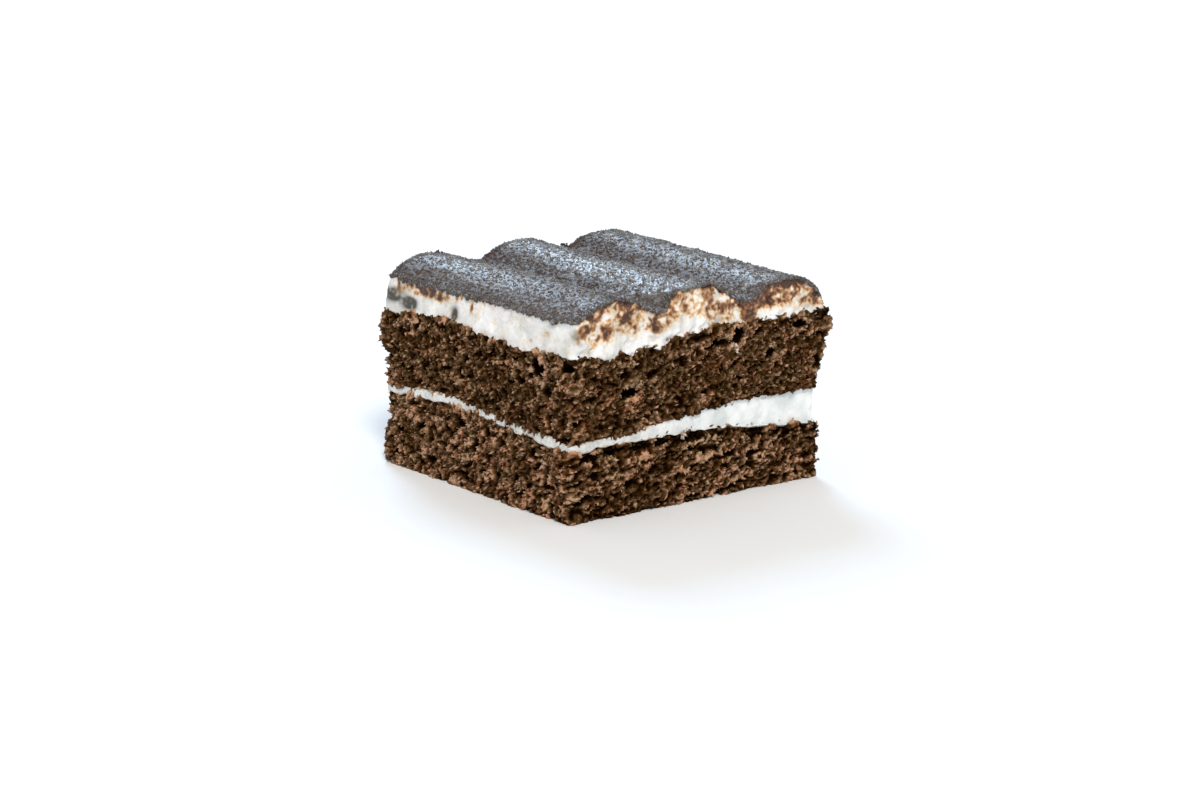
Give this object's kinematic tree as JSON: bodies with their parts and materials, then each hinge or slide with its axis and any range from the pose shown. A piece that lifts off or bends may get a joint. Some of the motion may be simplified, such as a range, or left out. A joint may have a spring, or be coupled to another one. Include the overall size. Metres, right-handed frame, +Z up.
{
  "type": "tiramisu cake piece",
  "caption": "Square-cut piece of layered chocolate sponge cake with a cream filling, piped cream ropes on top and a cocoa dusting.",
  "frame": {"origin": "middle of the underside of the piece", "axes": "+Z up through the layers, +X across the piped ropes towards the rounded side, +Y along the ropes towards the back"},
  "size_m": [0.084, 0.0746, 0.052],
  "materials": {
    "chocolate_sponge": "open chocolate sponge crumb, matte and craggy",
    "filling_cream": "smooth white cream, soft and slightly moist",
    "topping_cream": "piped white cream, torn where it was cut, stained with cocoa",
    "cocoa_powder": "damp cocoa powder, finely grained with a soft sheen"
  },
  "bodies": {
    "root": {"lower_sponge": "chocolate_sponge", "cream_filling": "filling_cream", "upper_sponge": "chocolate_sponge", "cream_topping": "topping_cream", "cocoa_dusting": "cocoa_powder"}
  },
  "joints": []
}
